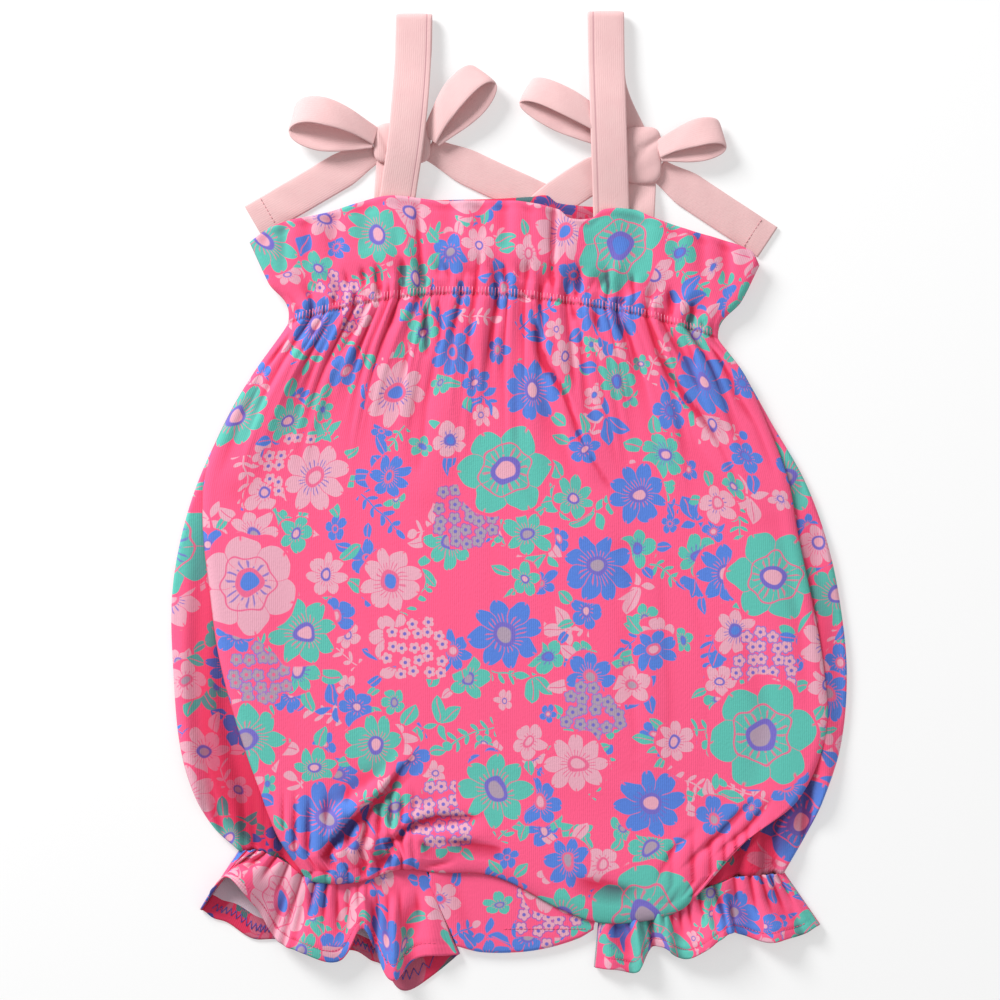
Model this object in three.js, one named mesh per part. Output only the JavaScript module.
// A baby's bubble romper in printed jersey, laid flat on its back.
// Units are millimetres and +Z is up. X runs across the garment, Y from the legs to the neck.
// The origin is under the centre of the garment's outline, on the surface that it lies on.
// Left and right are those of somebody who looks down on the front.
import * as THREE from "three";

// Driving dimensions
const CLOTH = 1.1; // one layer of jersey, as a wall
const STRAP_WIDTH = 15.2;
const STRAP = 1.2; // a strap is a turned tube pressed flat
const SEAM_GAP = 0.3; // left between two pieces that meet
const LAYER_GAP = 0.4; // left between two curved layers that lie on each other
const RIM_GAP = 0.8; // left under the front panel's rounded rim
const LEG_SEAM_GAP = 0.6; // left along the leg elastics
const ROLL = { header: 1.3, body: 1.7 }; // radius of the back panel's turned sides
const STRIP_COVER = 8; // how far the turned side runs on under the front panel
const HEADER_LIFT = 1.5; // the back header lies on the free ends of the bows
const CROSSING_LIFT = { at: 17, half: 40, height: 1.8 }; // more where two free ends cross
const FRONT_TOP = { elastic: 4.7, header: 6.0, foldEdge: 6.6, middle: 4.9 };
const FRONT_ROUND = { header: 2.4, body: 4.6 }; // radius of the front panel's rounded edges
const RUFFLE_TOP = 3.4; // height of the leg ruffles and the crotch band at the leg elastic
const KNOT_HEIGHT = 5.2;
const KNOT_PINCH = 0.66; // share of its width that a band keeps at its knot
const BOW_CLEARANCE = 8.2; // middle of a front strap where it passes over its bow
const FOLD_OVER = 2.0; // radius of the fold at the top of a front strap
const LOOP_TILT = 1.05; // radians that a bow's loops lean over from standing on edge
const LOOP_FLATTEN = 0.42; // share of its height that a soft loop keeps

// A table with named columns. Each row is one section, fold or place.
const table = (columns, ...rows) =>
  rows.map((row) => Object.fromEntries(columns.split(" ").map((name, i) => [name, row[i]])));

// Side edges of the front panel from above. v is -1 at the neck edge, 0 at the chest elastic,
// 1 at the bottom fold.
const FRONT_EDGES = table(
  "v leftX leftY rightX rightY",
  [-1, -108.8, 109.0, 105.0, 99.3],
  [-0.5, -101.2, 92.5, 97.7, 84.6],
  [0, -92.8, 75.4, 87.8, 69.1],
  [0.08, -107.3, 54.4, 99.0, 53.6],
  [0.17, -119.1, 34.2, 108.6, 32.6],
  [0.26, -127.5, 13.2, 117.0, 10.7],
  [0.37, -128.7, -9.9, 121.6, -14.1],
  [0.5, -125.8, -37.2, 127.1, -40.1],
  [0.62, -122.0, -64.5, 132.5, -70.8],
  [0.74, -114.9, -91.8, 133.1, -97.7],
  [0.85, -106.1, -117.8, 121.4, -125.0],
  [0.94, -96.8, -141.3, 99.1, -142.6],
  [1, -84.5, -159.0, 81.5, -162.3],
);

// Side edges of the back panel, which are the garment's outline. v is 1 at the leg elastics.
const BACK_EDGES = table(
  "v leftX leftY rightX rightY",
  [-1, -108.8, 109.0, 105.0, 99.3],
  [-0.5, -101.2, 92.5, 97.7, 84.6],
  [0, -92.8, 75.4, 87.8, 69.1],
  [0.08, -107.3, 54.4, 99.0, 53.6],
  [0.17, -119.1, 34.2, 111.0, 32.6],
  [0.28, -130.8, 9.0, 124.5, 9.0],
  [0.39, -138.4, -16.2, 133.8, -16.2],
  [0.5, -142.0, -41.4, 139.2, -41.4],
  [0.63, -141.3, -71.6, 142.2, -71.6],
  [0.76, -138.6, -101.9, 139.7, -101.9],
  [0.87, -132.4, -123.5, 132.0, -126.0],
  [0.94, -124.0, -137.1, 124.6, -140.5],
  [1, -113.8, -146.4, 115.9, -155.6],
);

// Cross edges of the panels. The back header shows behind the dips of the front one.
const NECK_EDGE = table(
  "x y",
  [-108.8, 109.0],
  [-98.3, 116.1],
  [-77.3, 121.2],
  [-51.2, 128.3],
  [-28.6, 126.4],
  [-1, 126.3],
  [10.9, 125.0],
  [21, 122.4],
  [25.0, 118.9],
  [34.5, 118.9],
  [39.5, 122.6],
  [52.2, 122.7],
  [60, 119.4],
  [71.4, 115.3],
  [101.2, 105.6],
  [105.0, 99.3],
);
const BACK_NECK_EDGE = table(
  "x y",
  [-108.8, 109.0],
  [-98.3, 115.8],
  [-77.3, 120.8],
  [-51.2, 127.0],
  [-30.2, 127.2],
  [-6.7, 127.6],
  [9.5, 128.4],
  [16.2, 128.9],
  [19.8, 126.0],
  [30, 124.6],
  [38, 124.0],
  [46, 122.2],
  [52.2, 121.5],
  [71.4, 115.0],
  [101.2, 105.4],
  [105.0, 99.3],
);
const CHEST_ELASTIC = table(
  "x y",
  [-92.8, 75.4],
  [-75.2, 80.2],
  [-55.9, 84.6],
  [-27.3, 87.6],
  [0.4, 86.7],
  [26.0, 83.6],
  [56.3, 78.3],
  [87.8, 69.1],
);
const BOTTOM_FOLD = table(
  "x y",
  [-84.5, -159.0],
  [-73.1, -160.4],
  [-61.0, -159.0],
  [-46.0, -154.4],
  [-29.0, -155.6],
  [-11.3, -156.0],
  [0.8, -159.8],
  [21.0, -170.7],
  [38.0, -176.6],
  [57.5, -175.8],
  [71.8, -171.4],
  [81.5, -162.3],
);

// Gathers that the chest elastic draws up in the front: a ridge each, at x on the elastic.
// The reaches up and down are shares of v.
const GATHERS = table(
  "x half height up down",
  [-87.5, 3.4, 1.2, 0.5, 0.12],
  [-76.6, 3.6, 2.0, 0.4, 0.26],
  [-67.2, 2.9, 1.5, 0.55, 0.14],
  [-58.2, 3.1, 2.1, 0.3, 0.2],
  [-49.2, 3.0, 1.7, 0.7, 0.12],
  [-40.3, 2.6, 2.0, 0.9, 0.18],
  [-32.6, 2.6, 1.6, 0.5, 0.3],
  [-22.6, 3.4, 1.3, 0.4, 0.14],
  [-10.8, 3.5, 1.9, 0.8, 0.2],
  [-0.3, 3.2, 1.5, 0.5, 0.12],
  [8.8, 3.0, 2.1, 0.45, 0.36],
  [20.2, 3.3, 1.7, 0.9, 0.16],
  [31.2, 3.1, 2.2, 0.5, 0.3],
  [41.2, 2.8, 1.5, 0.8, 0.16],
  [51.4, 3.1, 2.1, 0.5, 0.38],
  [61.3, 2.8, 1.7, 0.4, 0.2],
  [70.9, 3.0, 2.0, 0.6, 0.26],
  [81.7, 3.4, 1.3, 0.4, 0.12],
);

// Large soft folds of the front: ridges, or troughs where the height is below zero.
const FRONT_FOLDS = table(
  "fromX fromY toX toY width height",
  [-24, 66, -32, 10, 7, 1.3],
  [14, 62, 34, 14, 5, 1.9],
  [24, 46, 46, -20, 9, 1.1],
  [66, 64, 82, 38, 5, 1.7],
  [72, 46, 104, 4, 7, 1.5],
  [-90, 56, -112, 14, 6, 1.6],
  [50, -30, 56, -104, 9, 1.4],
  [-79, -136, -50, -116, 4.5, 2.2],
  [-70, -150, -36, -132, 4.5, 1.9],
  [-46, -148, -12, -138, 5, 1.6],
);

// Leg ruffles from the outer side, s = 0, to the crotch, s = 1. The root lies on the leg elastic.
// The front and back layers have hems of their own, and rise is the front hem's extra height.
const LEFT_RUFFLE = table(
  "s rootX rootY frontX frontY backX backY rise",
  [0, -113.8, -146.4, -130.2, -171.2, -130.2, -171.2, 0],
  [0.1, -105, -146.2, -119.5, -156.5, -121, -176.4, 7],
  [0.22, -96, -149.6, -106.5, -168, -108.4, -182.9, 6.5],
  [0.34, -88.6, -154.8, -97.5, -184, -97.9, -184.6, 3],
  [0.48, -80.5, -158.8, -85.7, -188.4, -86, -187.6, 5],
  [0.6, -71, -160.2, -70.2, -191.3, -71, -188.5, 6.5],
  [0.7, -61.7, -159.4, -60.6, -178.5, -60.6, -191, 2.5],
  [0.8, -52.1, -157.6, -50.4, -199.3, -53, -196, 6.5],
  [0.91, -41.6, -158.2, -38.6, -191.5, -41.6, -205.8, 4],
  [1, -32.3, -159.8, -20.6, -190, -20.6, -190, 0],
);
const RIGHT_RUFFLE = table(
  "s rootX rootY frontX frontY backX backY rise",
  [0, 115.9, -155.6, 131, -177.5, 131, -177.5, 0],
  [0.14, 105.4, -156.4, 113, -184.2, 112, -182.6, 4.5],
  [0.26, 95.4, -157.2, 98.4, -181.4, 98.4, -180.4, 2],
  [0.36, 87, -160.2, 92.4, -180.8, 91, -182, 6.5],
  [0.49, 77.3, -163.4, 82, -187.4, 82, -186.4, 4.5],
  [0.61, 68.5, -166.2, 71.8, -190.9, 71.8, -189.6, 5.5],
  [0.73, 59.2, -168.2, 61.7, -185.6, 61.7, -185, 2],
  [0.86, 48.7, -169.1, 52.6, -196.4, 52.6, -194, 4],
  [1, 38.2, -169.1, 35.7, -195.5, 35.7, -195.5, 0],
);

// The crotch band from above, u = 0 on its left: where it leaves the panels, and its folded edge.
const CROTCH = table(
  "u rootX foldX foldY",
  [0, -31.2, -20.0, -186.6],
  [0.15, -20.9, -12.0, -189.2],
  [0.4, -3.8, 2.6, -189.4],
  [0.65, 13.4, 15.6, -187.6],
  [0.87, 28.5, 28.4, -183.6],
  [1, 37.3, 34.8, -179.8],
);

const BOWS = [
  {
    side: "left",
    knot: { x: -45, y: 151, width: 24, depth: 17.5 },
    strapUp: [
      ...[[-50.4, 94], [-48.8, 112], [-46.6, 129]],
      ...[[-43.6, 148], [-41.6, 166], [-40.4, 184], [-39.9, 201.6]],
    ],
    strapDown: [[-40.2, 190], [-41.4, 175], [-43, 160.2]],
    backStrap: [[-51, 92], [-50, 112], [-49, 130], [-48.2, 141.9]],
    outerLoop: { fromX: -57.8, fromY: 152.2, toX: -90.4, toY: 159.6, half: 7.2, lean: -1 },
    innerLoop: { fromX: -30.6, fromY: 154.8, toX: -9.8, toY: 177.6, half: 6.2, lean: 1 },
    outerEnd: [[-57.4, 147.4], [-80, 133.6], [-105.4, 117.2]],
    innerEnd: [[-32.6, 148.6], [-12, 138.6], [12, 127.6], [26, 120.4]],
    innerEndHeight: [0.6, 0.6, 0.6, 0.6],
  },
  {
    side: "right",
    knot: { x: 56.4, y: 146, width: 15.5, depth: 24 },
    strapUp: [
      ...[[43.6, 90], [43.4, 98], [43.2, 106], [43, 114], [42.8, 122]],
      ...[[42.0, 146], [41.4, 165], [40.9, 184], [40.7, 202.4]],
    ],
    strapDown: [[41, 190], [42.2, 175], [50.5, 158.9]],
    backStrap: [[52.6, 88], [52.5, 97], [52.6, 106], [53, 114], [53.6, 122], [54.4, 133.8]],
    outerLoop: { fromX: 64.6, fromY: 148.6, toX: 89.4, toY: 154.8, half: 5.2, lean: 1 },
    innerLoop: { fromX: 47.9, fromY: 151.4, toX: 7.6, toY: 171.4, half: 4.6, lean: -1 },
    outerEnd: [[63.9, 139.4], [84, 126], [109.0, 109.6]],
    innerEnd: [[46.9, 142.6], [36.5, 138.4], [20, 127.8], [10, 119.6]],
    innerEndHeight: [0.6, 1.8, 2.1, 2.1],
  },
];

const PRINT = new THREE.MeshStandardMaterial({ color: 0xff5582, roughness: 0.9, metalness: 0 });
const PINK = new THREE.MeshStandardMaterial({ color: 0xeecacd, roughness: 0.85, metalness: 0 });

const mix = (a, b, t) => a + (b - a) * t;
const smooth = (from, to, x) => {
  const t = Math.min(1, Math.max(0, (x - from) / (to - from)));
  return t * t * (3 - 2 * t);
};
const bell = (distance, half) => Math.exp(-((distance / half) ** 2));
const evenly = (count) => Array.from({ length: count }, (_, i) => i / (count - 1));
const at = (x, y, z) => new THREE.Vector3(x, y, z);

// The value of one column of a table where its key column has a given value, on a smooth curve.
function along(rows, key, column, where) {
  const last = rows.length - 1;
  let i = 0;
  while (i < last - 1 && where > rows[i + 1][key]) i += 1;
  const slope = (k) => {
    const before = rows[Math.max(0, k - 1)];
    const after = rows[Math.min(last, k + 1)];
    return (after[column] - before[column]) / (after[key] - before[key]);
  };
  const span = rows[i + 1][key] - rows[i][key];
  const t = Math.min(1, Math.max(0, (where - rows[i][key]) / span));
  const ease = 3 * t * t - 2 * t * t * t;
  const leave = (t * t * t - 2 * t * t + t) * span * slope(i);
  const arrive = (t * t * t - t * t) * span * slope(i + 1);
  return mix(rows[i][column], rows[i + 1][column], ease) + leave + arrive;
}

// A sheet of cloth: rows of points, joined by triangles that look outwards.
class Cloth {
  points = [];
  faces = [];

  row(points) {
    const first = this.points.length;
    this.points.push(...points);
    return points.map((_, i) => first + i);
  }

  // Joins two rows, which may have different numbers of points.
  join(a, b) {
    let i = 0;
    let j = 0;
    while (i < a.length - 1 || j < b.length - 1) {
      const nextA = (i + 1) / (a.length - 1);
      const nextB = (j + 1) / (b.length - 1);
      if (j === b.length - 1 || (i < a.length - 1 && nextA <= nextB)) {
        this.faces.push([a[i], b[j], a[i + 1]]);
        i += 1;
      } else {
        this.faces.push([a[i], b[j], b[j + 1]]);
        j += 1;
      }
    }
  }

  joinAll(rows) {
    rows.slice(1).forEach((row, i) => this.join(rows[i], row));
    return this;
  }

  normals() {
    const sums = this.points.map(() => at(0, 0, 0));
    for (const face of this.faces) {
      const [a, b, c] = face.map((i) => this.points[i]);
      const cross = b.clone().sub(a).cross(c.clone().sub(a));
      face.forEach((i) => sums[i].add(cross));
    }
    return sums.map((sum) => sum.normalize());
  }

  // The closed wall of the sheet. A share of its thickness lies outside the points, the rest inside.
  wall(thickness, outside = 0) {
    const count = this.points.length;
    const normals = this.normals();
    const layer = (offset) => this.points.map((p, i) => p.clone().addScaledVector(normals[i], offset));
    const points = [...layer(thickness * outside), ...layer(thickness * (outside - 1))];
    const positions = new Float32Array(points.flatMap((point) => point.toArray()));
    const faces = [...this.faces, ...this.faces.map(([a, b, c]) => [a + count, c + count, b + count])];
    const edges = new Set(this.faces.flatMap(([a, b, c]) => [`${a},${b}`, `${b},${c}`, `${c},${a}`]));
    for (const edge of edges) {
      const [a, b] = edge.split(",").map(Number);
      if (!edges.has(`${b},${a}`)) faces.push([b, a, a + count], [b, a + count, b + count]);
    }
    const geometry = new THREE.BufferGeometry();
    geometry.setAttribute("position", new THREE.BufferAttribute(positions, 3));
    geometry.setIndex(faces.flat());
    return geometry;
  }
}

// Plan of the panels

function ends(edges, v) {
  const left = new THREE.Vector2(along(edges, "v", "leftX", v), along(edges, "v", "leftY", v));
  const right = new THREE.Vector2(along(edges, "v", "rightX", v), along(edges, "v", "rightY", v));
  return { left, right, width: left.distanceTo(right) };
}

// How far a cross edge lies above the straight line between its ends.
function riseOf(curve, edges, v, u) {
  const { left, right } = ends(edges, v);
  const straight = left.lerp(right, u);
  return along(curve, "x", "y", straight.x) - straight.y;
}

function plan({ edges, neckEdge, lowerEdge }, u, v) {
  const { left, right } = ends(edges, v);
  const point = left.lerp(right, u);
  const elastic = riseOf(CHEST_ELASTIC, edges, 0, u);
  if (v < 0) point.y += mix(elastic, riseOf(neckEdge, edges, -1, u), -v);
  else point.y += elastic * (1 - v) ** 2 + riseOf(lowerEdge, edges, 1, u) * v ** 3;
  return point;
}

const roots = [...LEFT_RUFFLE, ...[...RIGHT_RUFFLE].reverse()];
const legLine = roots.map(({ rootX, rootY }) => ({ x: rootX, y: rootY }));
const FRONT = { edges: FRONT_EDGES, neckEdge: NECK_EDGE, lowerEdge: BOTTOM_FOLD };
const BACK = { edges: BACK_EDGES, neckEdge: BACK_NECK_EDGE, lowerEdge: legLine };

const backLift = (x, v) => {
  const crossing = CROSSING_LIFT.height * bell(x - CROSSING_LIFT.at, CROSSING_LIFT.half) ** 2;
  return smooth(-0.08, -0.5, v) * (HEADER_LIFT + crossing);
};
const rollRadius = (v) => mix(ROLL.header, ROLL.body, smooth(-0.1, 0.15, v));

// Front panel

function gathered(u, v) {
  const { left, right } = ends(FRONT_EDGES, 0);
  const x = mix(left.x, right.x, u);
  let sum = 0;
  for (const gather of GATHERS) {
    const reach = v < 0 ? gather.up : gather.down;
    const fade = 1 - smooth(0.1, 1, Math.abs(v) / reach);
    sum += gather.height * fade * bell(x - gather.x, gather.half);
  }
  return sum;
}

function folded(x, y) {
  let sum = 0;
  for (const fold of FRONT_FOLDS) {
    const line = new THREE.Vector2(fold.toX - fold.fromX, fold.toY - fold.fromY);
    const from = new THREE.Vector2(x - fold.fromX, y - fold.fromY);
    const share = Math.min(1, Math.max(0, from.dot(line) / line.lengthSq()));
    const distance = from.sub(line.multiplyScalar(share)).length();
    sum += fold.height * bell(distance, fold.width) * Math.sin(Math.PI * mix(0.12, 0.88, share));
  }
  return sum;
}

const roundOff = (share) => Math.sqrt(1 - (1 - Math.min(1, share)) ** 2);

function frontPoint(u, v, sideShare, bottomShare) {
  const { x, y } = plan(FRONT, u, v);
  const rim = backLift(x, v) + 2 * rollRadius(v) + RIM_GAP;
  const across = 1 - Math.abs(2 * u - 1);
  const { elastic, foldEdge, middle } = FRONT_TOP;
  const header = FRONT_TOP.header + backLift(x, v);
  const belly = mix(foldEdge, middle, smooth(0.05, 0.4, across));
  const body = mix(foldEdge, belly, 1 - smooth(0.82, 0.97, v));
  const flat = v < 0 ? mix(elastic, header, smooth(0, -0.12, v)) : mix(elastic, body, smooth(0, 0.1, v));
  const rounded = roundOff(sideShare) * roundOff(bottomShare);
  const relief = smooth(0, 0.08, across) * (gathered(u, v) + folded(x, y));
  return at(x, y, rim + (Math.max(flat, rim + 0.6) - rim + relief) * rounded);
}

const EDGE_STEPS = [0, 0.08, 0.3, 0.65, 1];

function frontPanel() {
  const bodyLength = ends(FRONT_EDGES, 0).left.y - ends(FRONT_EDGES, 1).left.y;
  const bottomRound = FRONT_ROUND.body / bodyLength;
  const gatheredLevels = [-1, -0.8, -0.6, -0.42, -0.26, -0.13, -0.05, 0, 0.03, 0.07, 0.12, 0.18, 0.25];
  const plainLevels = [0.32, 0.4, 0.48, 0.56, 0.64, 0.72, 0.79, 0.84, 0.88, 0.915, 0.945, 0.967];
  const turnLevels = [...EDGE_STEPS].reverse().map((step) => 1 - step * bottomRound);
  const levels = [...gatheredLevels, ...plainLevels, ...turnLevels];
  const cloth = new Cloth();
  const rows = levels.map((v) => {
    const edge = mix(FRONT_ROUND.header, FRONT_ROUND.body, smooth(0, 0.15, v)) / ends(FRONT_EDGES, v).width;
    const turn = EDGE_STEPS.map((step) => step * edge);
    const middle = evenly(v < 0.2 ? 63 : 31).slice(1, -1).map((u) => mix(edge, 1 - edge, u));
    const columns = [...turn, ...middle, ...turn.map((u) => 1 - u).reverse()];
    return cloth.row(
      columns.map((u) => frontPoint(u, v, Math.min(u, 1 - u) / edge, (1 - v) / bottomRound)),
    );
  });
  return cloth.joinAll(rows).wall(CLOTH);
}

// Back panel: a flat sheet whose sides roll up and run on over the front as the side strips.

function backPanel() {
  const headerLevels = [-1, -0.75, -0.5, -0.3, -0.15];
  const levels = [...headerLevels, 0, 0.08, 0.17, 0.26, 0.34, 0.42, 0.52, 0.62, 0.72, 0.82, 0.9, 0.95, 1];
  const cloth = new Cloth();
  const rows = levels.map((v) => {
    const back = ends(BACK_EDGES, v);
    const front = ends(FRONT_EDGES, v);
    const radius = rollRadius(v);
    const strip = (edge, outline) => {
      const reach = smooth(0.05, 0.25, v) * (Math.abs(edge.x - outline.x) + STRIP_COVER);
      return radius + 0.6 + reach;
    };
    const side = (reach) => {
      const flat = [1, 0.75, 0.5, 0.25].map((share) => ({ inwards: mix(radius, reach, share), z: 2 * radius }));
      const arc = [1, 0.75, 0.5, 0.25].map((turn) => ({
        inwards: radius * (1 - Math.sin(Math.PI * turn)),
        z: radius * (1 - Math.cos(Math.PI * turn)),
      }));
      return [...flat, ...arc];
    };
    const left = side(strip(front.left, back.left)).map(({ inwards, z }) => {
      return { u: inwards / back.width, z };
    });
    const right = side(strip(front.right, back.right)).map(({ inwards, z }) => {
      return { u: 1 - inwards / back.width, z };
    });
    const inset = radius / back.width;
    const bottom = evenly(29).map((share) => ({ u: mix(inset, 1 - inset, share), z: 0 }));
    return cloth.row(
      [...left, ...bottom, ...right.reverse()].map(({ u, z }) => {
        const { x, y } = plan(BACK, u, v);
        return at(x, y, z + backLift(x, v));
      }),
    );
  });
  return cloth.joinAll(rows.reverse()).wall(CLOTH);
}

// Leg ruffle: a closed ring of cloth, pressed flat, with a front layer and a back layer.

function ruffle(rowsOfRuffle) {
  const column = (name, s) => along(rowsOfRuffle, "s", name, s);
  const onLeft = rowsOfRuffle[0].rootX < 0;
  const shares = evenly(33).slice(1, -1);
  const ring = [
    { s: 0, layer: 0.5 },
    ...shares.map((s) => ({ s, layer: 1 })),
    { s: 1, layer: 0.5 },
    ...shares.map((s) => ({ s, layer: 0 })).reverse(),
  ];
  const cloth = new Cloth();
  const rows = [0, 0.15, 0.4, 0.65, 0.85, 1].map((down) => {
    const ids = cloth.row(
      ring.map(({ s, layer }) => {
        const hem = layer ? "front" : "back";
        const rootX = column("rootX", s);
        const rootY = along(legLine, "x", "y", rootX) - LEG_SEAM_GAP;
        const x = mix(rootX, column(`${hem}X`, s), down);
        const y = mix(rootY, column(`${hem}Y`, s), down);
        const narrow = smooth(0, 0.06, s) * smooth(1, 0.94, s);
        const top = RUFFLE_TOP + narrow * column("rise", s) * smooth(0.3, 0.95, down);
        return at(x, y, top * layer);
      }),
    );
    return [...ids, ids[0]];
  });
  return cloth.joinAll(onLeft ? rows : rows.reverse()).wall(CLOTH);
}

// Crotch band: it comes out under the front's bottom fold, turns under and runs back to the back panel.

function crotchBand() {
  const rolled = 0.5 * RUFFLE_TOP;
  const path = [
    ...[-0.16, 0.1, 0.35, 0.6, 0.8].map((down) => ({ down, in: 0, z: RUFFLE_TOP })),
    ...[1, 0.75, 0.5, 0.25, 0].map((turn) => ({
      down: 1,
      in: rolled * (1 - Math.sin(Math.PI * turn)),
      z: rolled * (1 - Math.cos(Math.PI * turn)),
    })),
    ...[0.8, 0.6, 0.35, 0].map((down) => ({ down, in: 0, z: 0 })),
  ];
  const cloth = new Cloth();
  const rows = path.map(({ down, in: inwards, z }) =>
    cloth.row(
      evenly(15).map((u) => {
        const rootX = along(CROTCH, "u", "rootX", u);
        const rootY = along(legLine, "x", "y", rootX) - LAYER_GAP;
        const x = mix(rootX, along(CROTCH, "u", "foldX", u), Math.max(0, down));
        const y = mix(rootY, along(CROTCH, "u", "foldY", u), down);
        return at(x, y + inwards, z);
      }),
    ),
  );
  return cloth.joinAll(rows).wall(CLOTH);
}

// Straps and bows

// A flat band along a path. Its width points the same way all along.
function band(path, widthDirection, count, widthAt = () => STRAP_WIDTH) {
  const curve = new THREE.CatmullRomCurve3(path, false, "centripetal");
  const cloth = new Cloth();
  const rows = curve.getSpacedPoints(count).map((middle, i) =>
    cloth.row(
      [-0.5, 0, 0.5].map((share) => middle.clone().addScaledVector(widthDirection, share * widthAt(i / count))),
    ),
  );
  return cloth.joinAll(rows).wall(STRAP, 0.5);
}

const acrossOf = (path) => {
  const direction = path.at(-1).clone().sub(path[0]).setZ(0).normalize();
  return at(-direction.y, direction.x, 0);
};

// Inside the neck a strap lies on what is below it, and outside it comes down onto the bow.
function neckHeight(x, y, above) {
  const elastic = along(CHEST_ELASTIC, "x", "y", x);
  const neck = along(NECK_EDGE, "x", "y", x);
  const v = (elastic - y) / (neck - elastic);
  return backLift(x, Math.min(0, Math.max(-1, v))) + above;
}

function frontStrap({ strapUp, strapDown, knot }) {
  const inNeck = CLOTH + 2.5 * LAYER_GAP + 1.5 * STRAP;
  const up = strapUp.map(([x, y]) => {
    const overBow = smooth(126, knot.y - 4, y);
    const toFold = smooth(knot.y + 12, 196, y);
    const height = mix(neckHeight(x, y, inNeck), BOW_CLEARANCE, overBow);
    return at(x, y, mix(height, 2 * FOLD_OVER + 0.5 * STRAP, toFold));
  });
  const top = up.at(-1);
  const fold = [0.75, 0.5, 0.25].map((turn) =>
    at(
      top.x,
      top.y + FOLD_OVER * Math.sin(Math.PI * turn),
      0.5 * STRAP + FOLD_OVER * (1 - Math.cos(Math.PI * turn)),
    ),
  );
  const down = [[top.x, top.y - 1], ...strapDown].map(([x, y]) => at(x, y, 0.5 * STRAP + 0.1));
  return band([...up, ...fold, ...down], at(1, 0, 0), 34);
}

function backStrap({ backStrap: route, knot }) {
  const onHeader = CLOTH + 1.3 * LAYER_GAP + 0.5 * STRAP;
  const path = route.map(([x, y]) => {
    const toKnot = smooth(127, knot.y - 0.5 * knot.depth, y);
    return at(x, y, mix(neckHeight(x, y, onHeader), 0.5 * STRAP, toKnot));
  });
  return band(path, acrossOf(path), 10);
}

function freeEnd(route, heights) {
  const path = route.map(([x, y], i) => at(x, y, heights ? heights[i] : 0.5 * STRAP));
  return band(path, acrossOf(path), 8, (share) => STRAP_WIDTH * mix(KNOT_PINCH, 1, smooth(0, 0.3, share)));
}

// A loop stands on edge, leans over and sags. Its two ends meet at the knot.
function loop({ fromX, fromY, toX, toY, half, lean }) {
  const from = at(fromX, fromY, STRAP + SEAM_GAP + 0.5 * STRAP);
  const axis = at(toX, toY, from.z).sub(from);
  const length = axis.length();
  axis.normalize();
  const aside = at(-axis.y, axis.x, 0).multiplyScalar(lean);
  const up = at(0, 0, LOOP_FLATTEN);
  const open = aside.clone().multiplyScalar(Math.cos(LOOP_TILT)).addScaledVector(up, Math.sin(LOOP_TILT));
  const width = aside.clone().multiplyScalar(-Math.sin(LOOP_TILT)).addScaledVector(up, Math.cos(LOOP_TILT));
  const cloth = new Cloth();
  const rows = evenly(23).map((share) => {
    const turn = mix(0.1, 2 * Math.PI - 0.1, share);
    const out = 0.5 * length * (1 - Math.cos(turn));
    const apart = half * Math.sin(turn) * Math.sin(0.5 * turn) + 1.1 * Math.cos(0.5 * turn);
    const pinch = mix(KNOT_PINCH, 1, smooth(0, 0.7 * length, out));
    const middle = from.clone().addScaledVector(axis, out).addScaledVector(open, apart);
    middle.z += Math.abs(apart) * open.z + 0.5 * pinch * STRAP_WIDTH * width.z;
    return cloth.row(
      [-0.5, 0, 0.5].map((side) => middle.clone().addScaledVector(width, side * pinch * STRAP_WIDTH)),
    );
  });
  return cloth.joinAll(rows).wall(STRAP, 0.5);
}

function knotLump({ x, y, width, depth }) {
  const geometry = new THREE.SphereGeometry(1, 16, 8);
  const position = geometry.getAttribute("position");
  const square = (value, power) => Math.sign(value) * Math.abs(value) ** power;
  for (let i = 0; i < position.count; i += 1) {
    const across = square(position.getX(i), 0.6);
    const lengthwise = square(position.getZ(i), 0.6);
    const height = square(position.getY(i), 0.7);
    position.setXYZ(
      i,
      x + 0.5 * width * across,
      y - 0.5 * depth * lengthwise,
      0.5 * KNOT_HEIGHT * (1 + height),
    );
  }
  return geometry;
}

const romper = new THREE.Group();

function add(name, geometry, material) {
  const mesh = new THREE.Mesh(geometry, material);
  mesh.name = name;
  romper.add(mesh);
}

add("front_panel", frontPanel(), PRINT);
add("back_panel", backPanel(), PRINT);
add("crotch_band", crotchBand(), PRINT);
add("left_leg_ruffle", ruffle(LEFT_RUFFLE), PRINT);
add("right_leg_ruffle", ruffle(RIGHT_RUFFLE), PRINT);
for (const bow of BOWS) {
  add(`${bow.side}_front_strap`, frontStrap(bow), PINK);
  add(`${bow.side}_back_strap`, backStrap(bow), PINK);
  add(`${bow.side}_knot`, knotLump(bow.knot), PINK);
  add(`${bow.side}_outer_loop`, loop(bow.outerLoop), PINK);
  add(`${bow.side}_inner_loop`, loop(bow.innerLoop), PINK);
  add(`${bow.side}_outer_end`, freeEnd(bow.outerEnd), PINK);
  add(`${bow.side}_inner_end`, freeEnd(bow.innerEnd, bow.innerEndHeight), PINK);
}

// The origin goes under the middle of the outline.
const bounds = new THREE.Box3().setFromObject(romper);
const middle = bounds.getCenter(at(0, 0, 0));
romper.position.set(-middle.x, -middle.y, -bounds.min.z);

export default romper;
